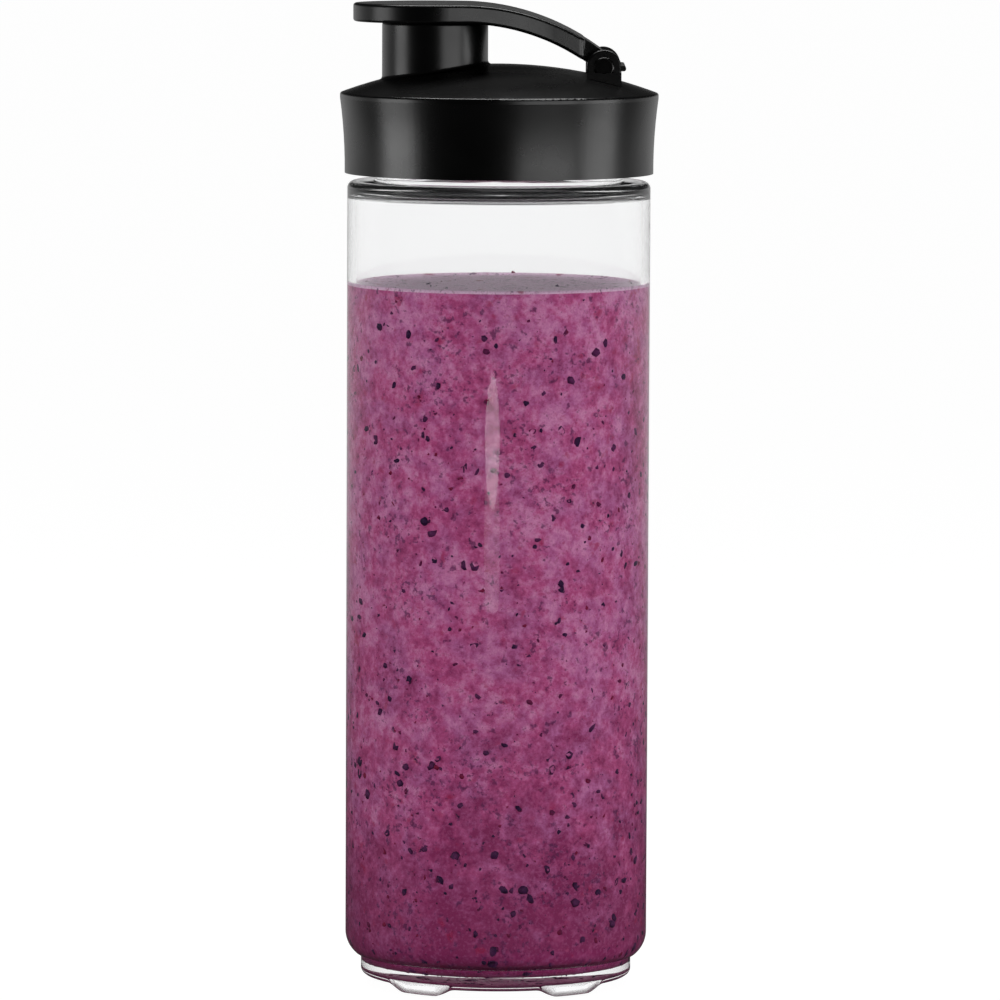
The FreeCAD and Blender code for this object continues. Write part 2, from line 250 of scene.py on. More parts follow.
class Finishes:
    """The shader groups that the finishes share, built once."""

    def __init__(self) -> None:
        """Build both groups."""
        self.skin = moulded_skin_group()
        self.handling = handling_group()

    def start(self, name: str) -> tuple[bpy.types.Material, Tree, bpy.types.NodeSocket]:
        """Start a material.

        Args:
            name: the material's name.

        Returns:
            The material, its tree and its Object coordinates.
        """
        material = bpy.data.materials.new(name)
        material.use_nodes = True
        tree = Tree(material.node_tree)
        return material, tree, tree.add("ShaderNodeTexCoord").outputs["Object"]

    @staticmethod
    def surface(tree: Tree, **inputs: object) -> None:
        """Finish an opaque material with one Principled shader.

        Args:
            tree: the material's tree.
            inputs: the shader's inputs, with underscores for spaces.
        """
        named = {name.replace("_", " "): value for name, value in inputs.items()}
        shader = tree.add("ShaderNodeBsdfPrincipled", named)
        tree.add("ShaderNodeOutputMaterial", {"Surface": shader.outputs[0]})

    def place(self, tree: Tree, group: bpy.types.NodeTree, where: bpy.types.NodeSocket,
              **inputs: float) -> bpy.types.Node:
        """Place a shared group in a material.

        Args:
            tree: the material's tree.
            group: the group.
            where: coordinates for its patterns.
            inputs: its other inputs, with underscores for spaces.

        Returns:
            The group's node.
        """
        node = tree.add("ShaderNodeGroup", node_tree=group)
        tree.tree.links.new(where, node.inputs["Where"])
        for name, value in inputs.items():
            node.inputs[name.replace("_", " ")].default_value = value
        return node


@dataclass(frozen=True)
class MouldedFinish:
    """Opaque moulded plastic or silicone."""

    name: str
    colour: Colour
    worn_colour: Colour
    roughness: float
    roughness_spread: float
    grain: float = 2500.0
    bump: float = 0.12
    bump_depth: float = 0.00003
    specular: float = 1.0
    dustiness: float = 0.10

    def material(self, finishes: Finishes) -> bpy.types.Material:
        """Build the material.

        Args:
            finishes: the shared groups.

        Returns:
            The material.
        """
        material, tree, where = finishes.start(self.name)
        skin = finishes.place(tree, finishes.skin, where, Grain_per_Metre=self.grain)
        marks = finishes.place(tree, finishes.handling, where)
        dust = tree.math("MULTIPLY", marks.outputs["Dust"], self.dustiness)
        colour = tree.blend(dust, self.colour, self.worn_colour)
        spread = self.roughness_spread
        flow = tree.math("MULTIPLY_ADD", skin.outputs["Mask"], spread, self.roughness)
        rough = tree.math("MULTIPLY_ADD", marks.outputs["Smears"], spread, flow)
        bump = tree.add("ShaderNodeBump", {"Strength": self.bump, "Distance": self.bump_depth,
                                           "Height": skin.outputs["Height"]})
        finishes.surface(tree, Base_Color=colour, Roughness=rough, Normal=bump.outputs[0],
                         Specular_IOR_Level=self.specular)
        return material


@dataclass(frozen=True)
class ClearFinish:
    """Clear, hard bottle plastic."""

    name: str = "clear_copolyester"
    tint: Colour = (0.993, 0.995, 0.997)
    roughness: float = 0.015
    smear_roughness: float = 0.05
    index: float = 1.46
    clearness: float = 0.985
    shadow_tint: Colour = (0.93, 0.935, 0.94)
    smears_per_metre: float = 28.0
    ripples_per_metre: float = 90.0
    flow_per_metre: float = 25.0
    bump: float = 0.10
    bump_depth: float = 0.0002

    def material(self, finishes: Finishes) -> bpy.types.Material:
        """Build the material. Lamps reach what is behind it.

        Args:
            finishes: the shared groups.

        Returns:
            The material.
        """
        material, tree, where = finishes.start(self.name)
        marks = finishes.place(tree, finishes.handling, where,
                               Smears_per_Metre=self.smears_per_metre)
        skin = finishes.place(tree, finishes.skin, where, Grain_per_Metre=self.ripples_per_metre,
                              Flow_per_Metre=self.flow_per_metre)
        rough = tree.math("MULTIPLY_ADD", marks.outputs["Smears"], self.smear_roughness,
                          self.roughness)
        bump = tree.add("ShaderNodeBump", {"Strength": self.bump, "Distance": self.bump_depth,
                                           "Height": skin.outputs["Height"]})
        shader = tree.add("ShaderNodeBsdfPrincipled", {
            "Base Color": (*self.tint, 1.0), "Roughness": rough, "Normal": bump.outputs[0],
            "IOR": self.index, "Transmission Weight": self.clearness})
        through = tree.add("ShaderNodeBsdfTransparent", {"Color": (*self.shadow_tint, 1.0)})
        path = tree.add("ShaderNodeLightPath")
        mixed = tree.add("ShaderNodeMixShader", {0: path.outputs["Is Shadow Ray"],
                                                 1: shader.outputs[0], 2: through.outputs[0]})
        tree.add("ShaderNodeOutputMaterial", {"Surface": mixed.outputs[0]})
        return material


@dataclass(frozen=True)
class SmoothieFinish:
    """Thick blended berries: mottled purple with darker skins and red pulp in it."""

    name: str = "berry_smoothie"
    foam: Colour = (0.97, 0.72, 0.92)
    pale: Colour = (0.66, 0.27, 0.49)
    pink: Colour = (0.52, 0.090, 0.26)
    lilac: Colour = (0.47, 0.130, 0.33)
    deep: Colour = (0.24, 0.022, 0.105)
    red: Colour = (0.34, 0.008, 0.06)
    dark: Colour = (0.06, 0.008, 0.06)
    clouds: Pattern = Pattern(60.0, 6.0, 0.65)
    patches: Pattern = Pattern(330.0, 5.0, 0.7)
    hues: Pattern = Pattern(140.0, 4.0, 0.6, 0.38, 0.66)
    red_spots: Pattern = Pattern(300.0, 3.0, 0.6, 0.60, 0.72)
    specks: Pattern = Pattern(420.0, 3.0, 0.6, 0.60, 0.69)
    crowds: Pattern = Pattern(75.0, 2.0, 0.5, 0.50, 0.62)
    crumbs: Pattern = Pattern(800.0, 2.0, 0.6, 0.54, 0.66)
    grains: Pattern = Pattern(1200.0, 3.0, 0.6)
    froth: Ring = (0.48, 0.70)
    # painted shade: the deep colour laid in the hollows of the grain bump
    pit_shade: Ring = (0.50, 0.30)
    deep_tones: Ring = (0.50, 0.70)
    pale_tones: Ring = (0.64, 0.80)
    tone_rise_heights: Ring = (-0.01, 0.075)
    bottom_tint_heights: Ring = (0.045, -0.005)
    top: Ring = (0.1668, 0.167)
    cloud_share: float = 0.4
    rise_in_tone: float = 0.17
    bottom_tint_share: float = 0.6
    foam_share: float = 0.85
    red_share: float = 0.7
    speck_share: float = 0.75
    froth_share: float = 0.4
    pit_shade_share: float = 0.45
    roughness: float = 0.5
    froth_roughness: float = 0.2
    specular: float = 0.15
    bump: float = 0.2
    bump_depth: float = 0.0002

    def body_colour(self, tree: Tree, where: bpy.types.NodeSocket) -> bpy.types.NodeSocket:
        """The drink's mottled colour, darker towards the bottom.

        Args:
            tree: the material's tree.
            where: its coordinates.

        Returns:
            The colour's socket.
        """
        height = tree.add("ShaderNodeSeparateXYZ", {0: where}).outputs["Z"]
        clouds = tree.math("MULTIPLY", tree.noise(where, self.clouds), self.cloud_share)
        tone = tree.math("MULTIPLY_ADD", tree.noise(where, self.patches), 1 - self.cloud_share,
                         clouds)
        # the tone rises with height, so the drink is darker towards the bottom
        tone = tree.math("MULTIPLY_ADD", tree.ramp(height, *self.tone_rise_heights), self.rise_in_tone, tone)
        middle = tree.blend(tree.spots(where, self.hues), self.pink, self.lilac)
        colour = tree.blend(tree.ramp(tone, *self.deep_tones), self.deep, middle)
        colour = tree.blend(tree.ramp(tone, *self.pale_tones), colour, self.pale)
        # the lowest part is blended towards the deep colour, darker towards the bottom
        for zone, share, tint in ((self.bottom_tint_heights, self.bottom_tint_share, self.deep),
                                  (self.top, self.foam_share, self.foam)):
            weight = tree.math("MULTIPLY", tree.ramp(height, *zone), share)
            colour = tree.blend(weight, colour, tint)
        return colour

    def material(self, finishes: Finishes) -> bpy.types.Material:
        """Build the material.

        Args:
            finishes: the shared groups.

        Returns:
            The material.
        """
        material, tree, where = finishes.start(self.name)
        grains = tree.noise(where, self.grains)
        froth = tree.ramp(grains, *self.froth)
        crumbs = tree.math("MULTIPLY", tree.spots(where, self.crumbs),
                           tree.spots(where, self.crowds))
        specks = tree.math("MAXIMUM", tree.spots(where, self.specks), crumbs)
        colour = self.body_colour(tree, where)
        for mask, share, tint in (
                (tree.spots(where, self.red_spots), self.red_share, self.red),
                (specks, self.speck_share, self.dark),
                (froth, self.froth_share, self.lilac),
                # painted shade: deep colour where the grain bump dips
                (tree.ramp(grains, *self.pit_shade), self.pit_shade_share, self.deep)):
            colour = tree.blend(tree.math("MULTIPLY", mask, share), colour, tint)
        bump = tree.add("ShaderNodeBump", {"Strength": self.bump, "Distance": self.bump_depth,
                                           "Height": grains})
        rough = tree.math("MULTIPLY_ADD", froth, self.froth_roughness, self.roughness)
        finishes.surface(tree, Base_Color=colour, Roughness=rough, Normal=bump.outputs[0],
                         Specular_IOR_Level=self.specular)
        return material


@dataclass(frozen=True)
class FruitFinish:
    """Bits of fruit: skins or pulp."""

    name: str
    light: Colour
    dark: Colour
    roughness: float = 0.4
    grain_roughness: float = 0.2
    specular: float = 0.1
    shades: Pattern = Pattern(240.0, 1.0, 0.55, 0.38, 0.62)
    grain: Pattern = Pattern(1500.0, 2.0, 0.55)

    def material(self, finishes: Finishes) -> bpy.types.Material:
        """Build the material.

        Args:
            finishes: the shared groups.

        Returns:
            The material.
        """
        material, tree, where = finishes.start(self.name)
        colour = tree.blend(tree.spots(where, self.shades), self.dark, self.light)
        rough = tree.math("MULTIPLY_ADD", tree.noise(where, self.grain), self.grain_roughness,
                          self.roughness)
        finishes.surface(tree, Base_Color=colour, Roughness=rough,
                         Specular_IOR_Level=self.specular)
        return material


# ---------------------------------------------------------------- turned shapes


class Outline:
    """Half of a turned shape's section, from the axis round to the axis, in millimetres."""

    ARC_STEP_DEG = 5
    ROUND_STEP = 0.35
    ROUND_STEPS = (3, 12)

    def __init__(self, radius: float, height: float) -> None:
        """Start at a point.

        Args:
            radius: distance from the axis.
            height: height above the stand.
        """
        self.corners: list[tuple[Vector, float]] = [(Vector((radius, height)), 0.0)]

    def line(self, radius: float, height: float, rounding: float = 0.0) -> "Outline":
        """Go straight to a corner, which may be rounded.

        Args:
            radius: distance from the axis.
            height: height above the stand.
            rounding: the corner's radius.

        Returns:
            This outline.
        """
        self.corners.append((Vector((radius, height)), rounding))
        return self

    def arc(self, middle: Ring, radius: float, start_deg: float, end_deg: float) -> "Outline":
        """Go along part of a circle.

        Args:
            middle: the circle's centre.
            radius: the circle's radius.
            start_deg: where it starts, from straight outwards.
            end_deg: where it ends.

        Returns:
            This outline.
        """
        steps = max(2, round(abs(end_deg - start_deg) / self.ARC_STEP_DEG))
        for step in range(steps + 1):
            turn = math.radians(start_deg + (end_deg - start_deg) * step / steps)
            self.line(middle[0] + radius * math.cos(turn), middle[1] + radius * math.sin(turn))
        return self

    def points(self, longest: float) -> list[Ring]:
        """The outline as points, with long lines divided.

        Args:
            longest: the longest step along a line.

        Returns:
            The points from first to last.
        """
        path: list[Vector] = []
        last = len(self.corners) - 1
        for index, (corner, rounding) in enumerate(self.corners):
            if not rounding or index in (0, last):
                path.append(corner)
                continue
            back = (self.corners[index - 1][0] - corner).normalized()
            ahead = (self.corners[index + 1][0] - corner).normalized()
            half = back.angle(ahead) / 2
            reach = rounding / math.tan(half)
            centre = corner + (back + ahead).normalized() * rounding / math.sin(half)
            begin, end = corner + back * reach, corner + ahead * reach
            steps = round(rounding * (math.pi - 2 * half) / self.ROUND_STEP)
            fewest, most = self.ROUND_STEPS
            steps = max(fewest, min(most, steps))
            for step in range(steps + 1):
                share = step / steps
                chord = begin.lerp(end, share) - centre
                path.append(centre + chord.normalized() * rounding)
        dense: list[Ring] = [tuple(path[0])]
        for begin, end in zip(path, path[1:]):
            count = max(1, math.ceil((end - begin).length / longest))
            dense += [tuple(begin.lerp(end, step / count)) for step in range(1, count + 1)]
        return dense


def turn_mesh(name: str, outline: list[Ring], sides: int, shift=None) -> bpy.types.Mesh:
    """Turn an outline round the axis into a mesh in metres.

    Args:
        name: the mesh's name.
        outline: radius and height, in millimetres. An end on the axis becomes one point.
        sides: steps round the axis.
        shift: moves a point, given its turn, radius and height.

    Returns:
        The mesh, smooth shaded.
    """
    points: list[tuple[float, float, float]] = []
    rings: list[list[int]] = []
    for index, (radius, height) in enumerate(outline):
        if radius < NEAR:
            _, height = shift(0.0, 0.0, height) if shift else (0.0, height)
            rings.append([len(points)])
            points.append((0.0, 0.0, height * MM))
            continue
        ring = []
        for side in range(sides):
            turn = 2 * math.pi * side / sides
            out, up = shift(turn, radius, height) if shift else (radius, height)
            ring.append(len(points))
            points.append((out * math.cos(turn) * MM, out * math.sin(turn) * MM, up * MM))
        rings.append(ring)
    faces: list[tuple[int, ...]] = []
    for low, high in zip(rings, rings[1:]):
        for side in range(sides):
            after = (side + 1) % sides
            if len(low) == 1:
                faces.append((low[0], high[after], high[side]))
            elif len(high) == 1:
                faces.append((low[side], low[after], high[0]))
            else:
                faces.append((low[side], low[after], high[after], high[side]))
    mesh = bpy.data.meshes.new(name)
    mesh.from_pydata(points, [], faces)
    mesh.update()
    mesh.shade_smooth()
    return mesh


def new_piece(name: str, mesh: bpy.types.Mesh,
              material: bpy.types.Material | None = None) -> bpy.types.Object:
    """Put a mesh in the scene.

    Args:
        name: the piece's name.
        mesh: its mesh.
        material: its finish, unless the mesh already has one.

    Returns:
        The piece.
    """
    piece = bpy.data.objects.new(name, mesh)
    bpy.context.scene.collection.objects.link(piece)
    if material is not None:
        mesh.materials.clear()
        mesh.materials.append(material)
    return piece


# ---------------------------------------------------------------- the bottle


@dataclass
class ClearBottle:
    """The one-piece clear bottle: base ring, feet, shoulder and threaded neck. Millimetres."""

    body_r: float = 36.05
    wall: float = 2.0
    shoulder_z: float = 191.65
    shoulder_thick: float = 2.6
    shoulder_round: float = 1.7
    neck_r: float = 29.5
    neck_wall: float = 2.0
    neck_top_z: float = 211.35
    neck_round: float = 0.7
    root_round: float = 0.6
    ring_r: float = 32.3
    ring_in_r: float = 28.3
    ring_round: float = 1.3
    ring_in_round: float = 0.65
    recess_round: float = 0.2
    step_round: float = 0.25
    step_gap: float = 0.05
    foot_height: float = 1.75
    foot_flat: float = 9.0
    foot_spread: float = 20.0
    foot_top: float = 3.55
    foot_count: int = 5
    first_foot_deg: float = -54.0
    step_z: float = 6.95
    heel_r: float = 6.5
    heel_deg: float = 50.0
    recess_z: float = 2.65
    floor_z: float = 4.85
    core_step: float = 1.0
    core_round: float = 1.0
    core_floor_round: float = 2.3
    thread_start: float = 5.7
    thread_pitch: float = 5.0
    thread_depth: float = 1.1
    thread_root: float = 2.8
    thread_crest: float = 1.3
    thread_turns: float = 1.6
    thread_fade: float = 0.03
    sides: int = 240
    fine_step: float = 0.4
    coarse_step: float = 6.0

    def base_inside(self, outline: Outline, soak: float = 0.0) -> Outline:
        """Go on down the inside of the body, heel and base ring to the axis.

        Args:
            outline: an outline that has come down the body's inside.
            soak: how far the line runs outside the inner wall.

        Returns:
            The finished outline.
        """
        turn = math.radians(self.heel_deg)
        middle = (self.body_r - self.heel_r, self.step_z + self.heel_r * math.sin(turn))
        core_r = self.ring_r - self.wall + soak
        outline.arc(middle, self.heel_r - self.wall + soak, 0.0, -self.heel_deg)
        outline.line(core_r, self.step_z + self.core_step - soak, self.core_round)
        outline.line(core_r, self.floor_z - soak, self.core_floor_round)
        return outline.line(0, self.floor_z - soak)

    def outline(self) -> list[Ring]:
        """The section of the wall, from under the floor outside to the floor inside.

        Returns:
            Points in millimetres.
        """
        heel_middle = (self.body_r - self.heel_r,
                       self.step_z + self.heel_r * math.sin(math.radians(self.heel_deg)))
        inside_top = self.shoulder_z - self.shoulder_thick
        inner_r, neck_in_r = self.body_r - self.wall, self.neck_r - self.neck_wall
        heel_low_r = heel_middle[0] + self.heel_r * math.cos(math.radians(self.heel_deg))
        body = Outline(0, self.recess_z)
        for corner in ((self.ring_in_r, self.recess_z, self.recess_round),
                       (self.ring_in_r, self.foot_height, self.ring_in_round),
                       (self.ring_r, self.foot_height, self.ring_round),
                       (self.ring_r, self.step_z, self.step_round),
                       (heel_low_r - self.step_gap, self.step_z)):
            body.line(*corner)
        body.arc(heel_middle, self.heel_r, -self.heel_deg, 0.0)
        for corner in ((self.body_r, self.shoulder_z, self.shoulder_round),
                       (self.neck_r, self.shoulder_z, self.root_round),
                       (self.neck_r, self.neck_top_z, self.neck_round),
                       (neck_in_r, self.neck_top_z, self.neck_round),
                       (neck_in_r, inside_top, self.root_round),
                       (inner_r, inside_top, self.shoulder_round)):
            body.line(*corner)
        return self.with_fine_neck(self.base_inside(body).points(self.coarse_step))

    def with_fine_neck(self, points: list[Ring]) -> list[Ring]:
        """Divide the outside of the neck finely, so that it can carry the thread.

        Args:
            points: the section's points.

        Returns:
            The section's points with the neck divided.
        """
        dense = points[:1]
        for before, point in zip(points, points[1:]):
            if all(abs(end[0] - self.neck_r) < NEAR for end in (before, point)):
                rise = point[1] - before[1]
                count = max(1, math.ceil(abs(rise) / self.fine_step))
                dense += [(self.neck_r, before[1] + rise * step / count)
                          for step in range(1, count)]
            dense.append(point)
        return dense

    def thread(self, turn: float, height: float) -> float:
        """How far the thread stands out of the neck.

        Args:
            turn: the angle round the axis.
            height: the height, in millimetres.

        Returns:
            A share of the thread's full depth.
        """
        best = 0.0
        for lap in range(math.ceil(self.thread_turns) + 1):
            along = turn / (2 * math.pi) + lap
            if not 0.0 <= along <= self.thread_turns:
                continue
            off = abs(height - self.shoulder_z - self.thread_start - self.thread_pitch * along)
            slope = (self.thread_root - self.thread_crest) / 2
            ridge = min(1.0, max(0.0, (self.thread_root / 2 - off) / slope))
            ends = min(along, self.thread_turns - along) / self.thread_fade
            best = max(best, ridge * min(1.0, ends))
        return best

    def foot(self, turn: float) -> float:
        """How far the base ring is drawn down to a foot.

        Args:
            turn: the angle round the axis.

        Returns:
            A share of the foot's full height.
        """
        spacing = 2 * math.pi / self.foot_count
        nearest = (turn - math.radians(self.first_foot_deg) + spacing / 2) % spacing - spacing / 2
        across = abs(math.sin(nearest)) * self.ring_r
        share = (self.foot_spread / 2 - across) / ((self.foot_spread - self.foot_flat) / 2)
        share = min(1.0, max(0.0, share))
        return share * share * (3 - 2 * share)

    def shift(self, turn: float, radius: float, height: float) -> Ring:
        """Where a point of the plain turned shape really is, with its thread and feet.

        Args:
            turn: the angle round the axis.
            radius: its distance from the axis.
            height: its height.

        Returns:
            The point's radius and height.
        """
        if abs(radius - self.neck_r) < NEAR and height > self.shoulder_z + self.root_round:
            return radius + self.thread_depth * self.thread(turn, height), height
        if height < self.foot_top and radius > self.ring_in_r - NEAR:
            share = (self.foot_top - height) / (self.foot_top - self.foot_height)
            return radius, height - self.foot_height * self.foot(turn) * min(1.0, share)
        return radius, height

    def build(self, finish: ClearFinish, finishes: Finishes) -> bpy.types.Object:
        """Build and dress the bottle.

        Args:
            finish: its plastic.
            finishes: the shared groups.

        Returns:
            The bottle.
        """
        mesh = turn_mesh("bottle_clear", self.outline(), self.sides, self.shift)
        bottle = new_piece("bottle_clear", mesh, finish.material(finishes))
        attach(bottle, "bottle")
        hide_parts("bottle")
        return bottle


# ---------------------------------------------------------------- the smoothie


@dataclass
class Smoothie:
    """The drink, with its uneven top and the fruit in it. Millimetres."""

    bottle: ClearBottle = field(default_factory=ClearBottle)
    soak: float = 0.03
    top_z: float = 167.2
    creep: float = 0.45
    creep_width: float = 1.5
    wave: float = 0.28
    calm_width: float = 3.0
    wave_scales: tuple[Ring, ...] = ((0.11, 1.0), (0.33, 0.4))
    wave_slice: float = 3.0
    sides: int = 160
    carrier_sides: int = 96

    @property
    def wet_r(self) -> float:
        """The radius of the wetted wall."""
        return self.bottle.body_r - self.bottle.wall + self.soak

    def outline(self, divisions: int) -> Outline:
        """The drink's section, from the middle of its top, over its edge and down the wall.

        Args:
            divisions: steps across the edge that creeps up the wall.

        Returns:
            The outline.
        """
        outline = Outline(0, self.top_z)
        for step in range(divisions + 1):
            share = step / divisions
            radius = self.wet_r - self.creep_width * (1 - share)
            outline.line(radius, self.top_z + self.creep * share ** 2)
        return self.bottle.base_inside(outline, self.soak)

    def top_shift(self, turn: float, radius: float, height: float) -> Ring:
        """Give the top its gentle waves.

        Args:
            turn: the angle round the axis.
            radius: the distance from the axis.
            height: the height.

        Returns:
            The point's radius and height.
        """
        if height < self.top_z - NEAR:
            return radius, height
        where = Vector((radius * math.cos(turn), radius * math.sin(turn), self.wave_slice))
        calm = min(1.0, (self.wet_r - radius) / self.calm_width)
        lift = sum(share * noise.noise(where * scale) for scale, share in self.wave_scales)
        return radius, height + self.wave * calm * lift

    def build(self, finish: SmoothieFinish, finishes: Finishes) -> bpy.types.Object:
        """Build and dress the drink.

        Args:
            finish: its look.
            finishes: the shared groups.

        Returns:
            The drink.
        """
        points = self.outline(5).points(1.6)[::-1]
        mesh = turn_mesh("smoothie_body", points, self.sides, self.top_shift)
        drink = new_piece("smoothie_body", mesh, finish.material(finishes))
        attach(drink, "bottle")
        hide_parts("smoothie")
        return drink

    def carrier(self) -> bpy.types.Mesh:
        """The surface that the fruit lies in: the wetted side and the top.

        Returns:
            The mesh.
        """
        return turn_mesh("fruit_carrier", self.outline(1).points(8.0)[::-1],
                         self.carrier_sides)


class FruitScatter:
    """Bits of fruit spread over a surface by rule, flattened against it."""

    RARITY = 2.8
    NARROWEST = 0.45
    SHARE_AT_TOP = 0.35
    THINNING = -0.8
    RAGGEDNESS = 3.5
    RAGS_PER_METRE = 1900.0

    def __init__(self) -> None:
        """Build the tree: scatter, flatten, roughen, and join."""
        group = bpy.data.node_groups.new("fruit_scatter", "GeometryNodeTree")
        group.is_modifier = True
        kinds = {"Geometry": "Geometry", "Bits per Square Metre": "Float", "Smallest": "Float",
                 "Largest": "Float", "Thickness": "Float", "Roundness": "Int", "Seed": "Int",
                 "Finish": "Material", "Low": "Float", "High": "Float"}
        self.sockets = {
            name: group.interface.new_socket(name, in_out="INPUT", socket_type="NodeSocket" + kind)
            for name, kind in kinds.items()}
        group.interface.new_socket("Geometry", in_out="OUTPUT", socket_type="NodeSocketGeometry")
        self.group = group
        self.fill(Tree(group))

    def fill(self, tree: Tree) -> None:
        """Add the tree's nodes.

        Args:
            tree: the empty tree.
        """
        given = tree.add("NodeGroupInput").outputs
        place = tree.add("GeometryNodeInputPosition").outputs[0]
        spread = tree.add("GeometryNodeDistributePointsOnFaces", {
            "Mesh": given["Geometry"], "Density": self.density(tree, given, place),
            "Seed": given["Seed"]}, distribute_method="RANDOM")
        ball = tree.add("GeometryNodeMeshIcoSphere", {
            "Radius": 0.5, "Subdivisions": given["Roundness"]})
        rare_big = tree.math("POWER", self.chance(tree, given, 0.0, 1.0, 0.0), self.RARITY)
        span = tree.math("SUBTRACT", given["Largest"], given["Smallest"])
        long = tree.math("MULTIPLY_ADD", rare_big, span, given["Smallest"])
        wide = tree.math("MULTIPLY", long, self.chance(tree, given, self.NARROWEST, 1.0, 5.0))
        scale = tree.add("ShaderNodeCombineXYZ", {0: long, 1: wide, 2: given["Thickness"]})
        turn = tree.add("FunctionNodeAxisAngleToRotation", {
            "Axis": (0, 0, 1), "Angle": self.chance(tree, given, 0.0, 2 * math.pi, 9.0)})
        facing = tree.add("FunctionNodeRotateRotation", {
            0: spread.outputs["Rotation"], 1: turn.outputs[0]}, rotation_space="LOCAL")
        bits = tree.add("GeometryNodeInstanceOnPoints", {
            "Points": spread.outputs["Points"], "Instance": ball.outputs["Mesh"],
            "Rotation": facing.outputs[0], "Scale": scale.outputs[0]})
        joined = tree.add("GeometryNodeRealizeInstances", {0: bits.outputs[0]})
        waves = tree.add("ShaderNodeTexNoise", {"Vector": place, "Scale": self.RAGS_PER_METRE,
                                                "Detail": 1.0})
        centred = tree.add("ShaderNodeVectorMath", {0: waves.outputs[1], 1: (0.5, 0.5, 0.5)},
                           operation="SUBTRACT")
        reach = tree.math("MULTIPLY", given["Thickness"], self.RAGGEDNESS)
        push = tree.add("ShaderNodeVectorMath", {0: centred.outputs[0], "Scale": reach},
                        operation="SCALE")
        rough = tree.add("GeometryNodeSetPosition", {0: joined.outputs[0],
                                                     "Offset": push.outputs[0]})
        smooth = tree.add("GeometryNodeSetShadeSmooth", {0: rough.outputs[0]})
        dressed = tree.add("GeometryNodeSetMaterial", {0: smooth.outputs[0],
                                                       "Material": given["Finish"]})
        tree.add("NodeGroupOutput", {0: dressed.outputs[0]})

    def density(self, tree: Tree, given: bpy.types.bpy_prop_collection,
                place: bpy.types.NodeSocket) -> bpy.types.NodeSocket:
        """Put most bits at the bottom, and few on the top.

        Args:
            tree: the tree.
            given: its inputs.
            place: the position.

        Returns:
            The density's socket.
        """
        height = tree.add("ShaderNodeSeparateXYZ", {0: place}).outputs["Z"]
        lower = tree.add("ShaderNodeMapRange", {
            "Value": height, "From Min": given["High"], "From Max": given["Low"],
            "To Min": self.SHARE_AT_TOP, "To Max": 1.0}).outputs[0]
        on_top = tree.math("GREATER_THAN", height, given["High"])
        thinned = tree.math("MULTIPLY_ADD", on_top, self.THINNING, 1.0)
        return tree.math("MULTIPLY", tree.math("MULTIPLY", lower, thinned),
                         given["Bits per Square Metre"])

    def chance(self, tree: Tree, given: bpy.types.bpy_prop_collection, low: float, high: float,
               shift: float) -> bpy.types.NodeSocket:
        """Draw a number for each bit.

        Args:
            tree: the tree.
            given: its inputs.
            low: the smallest number.
            high: the largest number.
            shift: what is added to the seed.

        Returns:
            The number's socket.
        """
        seed = tree.math("ADD", given["Seed"], shift) if shift else given["Seed"]
        return tree.add("FunctionNodeRandomValue", {2: low, 3: high, "Seed": seed},
                        data_type="FLOAT").outputs[1]

    def bake(self, name: str, carrier: bpy.types.Mesh, material: bpy.types.Material,
             **values: float) -> bpy.types.Object:
        """Scatter bits over a surface and turn them into one plain mesh.

        Args:
            name: the new piece's name.
            carrier: the surface.
            material: the bits' finish.
            values: the tree's other inputs, with underscores for spaces.

        Returns:
            The piece.
        """
        holder = bpy.data.objects.new(name + "_rule", carrier)
        bpy.context.scene.collection.objects.link(holder)
        modifier = holder.modifiers.new("scatter", "NODES")
        modifier.node_group = self.group
        modifier[self.sockets["Finish"].identifier] = material
        for label, value in values.items():
            modifier[self.sockets[label.replace("_", " ")].identifier] = value
        bpy.context.view_layer.update()
        solved = holder.evaluated_get(bpy.context.evaluated_depsgraph_get())
        mesh = bpy.data.meshes.new_from_object(solved)
        mesh.name = name
        holder.modifiers.remove(modifier)
        bpy.data.objects.remove(holder)
        piece = new_piece(name, mesh)
        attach(piece, "bottle")
        return piece


@dataclass(frozen=True)
class FruitKind:
    """One kind of bit, and how it is spread. Metres."""

    name: str
    finish: FruitFinish
    per_square_metre: float
    largest: float
    thickness: float
    seed: int
    smallest: float = 0.0003
    roundness: int = 1


@dataclass
class Fruit:
    """The skins and pulp that show in the drink. Metres."""

    drink: Smoothie = field(default_factory=Smoothie)
    low: float = 0.006
    high: float = 0.1668
    kinds: tuple[FruitKind, ...] = (
        FruitKind("smoothie_skins",
                  FruitFinish("berry_skin", (0.085, 0.016, 0.075), (0.022, 0.005, 0.035)),
                  62000.0, 0.0029, 0.0003, 7),
        FruitKind("smoothie_pulp",
                  FruitFinish("berry_pulp", (0.20, 0.010, 0.050), (0.10, 0.010, 0.060), 0.5),
                  36000.0, 0.0020, 0.00025, 27),
    )

    def build(self, finishes: Finishes) -> list[bpy.types.Object]:
        """Scatter the fruit.

        Args:
            finishes: the shared groups.

        Returns:
            One piece for each kind.
        """
        rule = FruitScatter()
        return [rule.bake(kind.name, self.drink.carrier(), kind.finish.material(finishes),
                          Bits_per_Square_Metre=kind.per_square_metre, Smallest=kind.smallest,
                          Largest=kind.largest, Thickness=kind.thickness,
                          Roundness=kind.roundness, Seed=kind.seed, Low=self.low,
                          High=self.high)
                for kind in self.kinds]


# ---------------------------------------------------------------- the lid


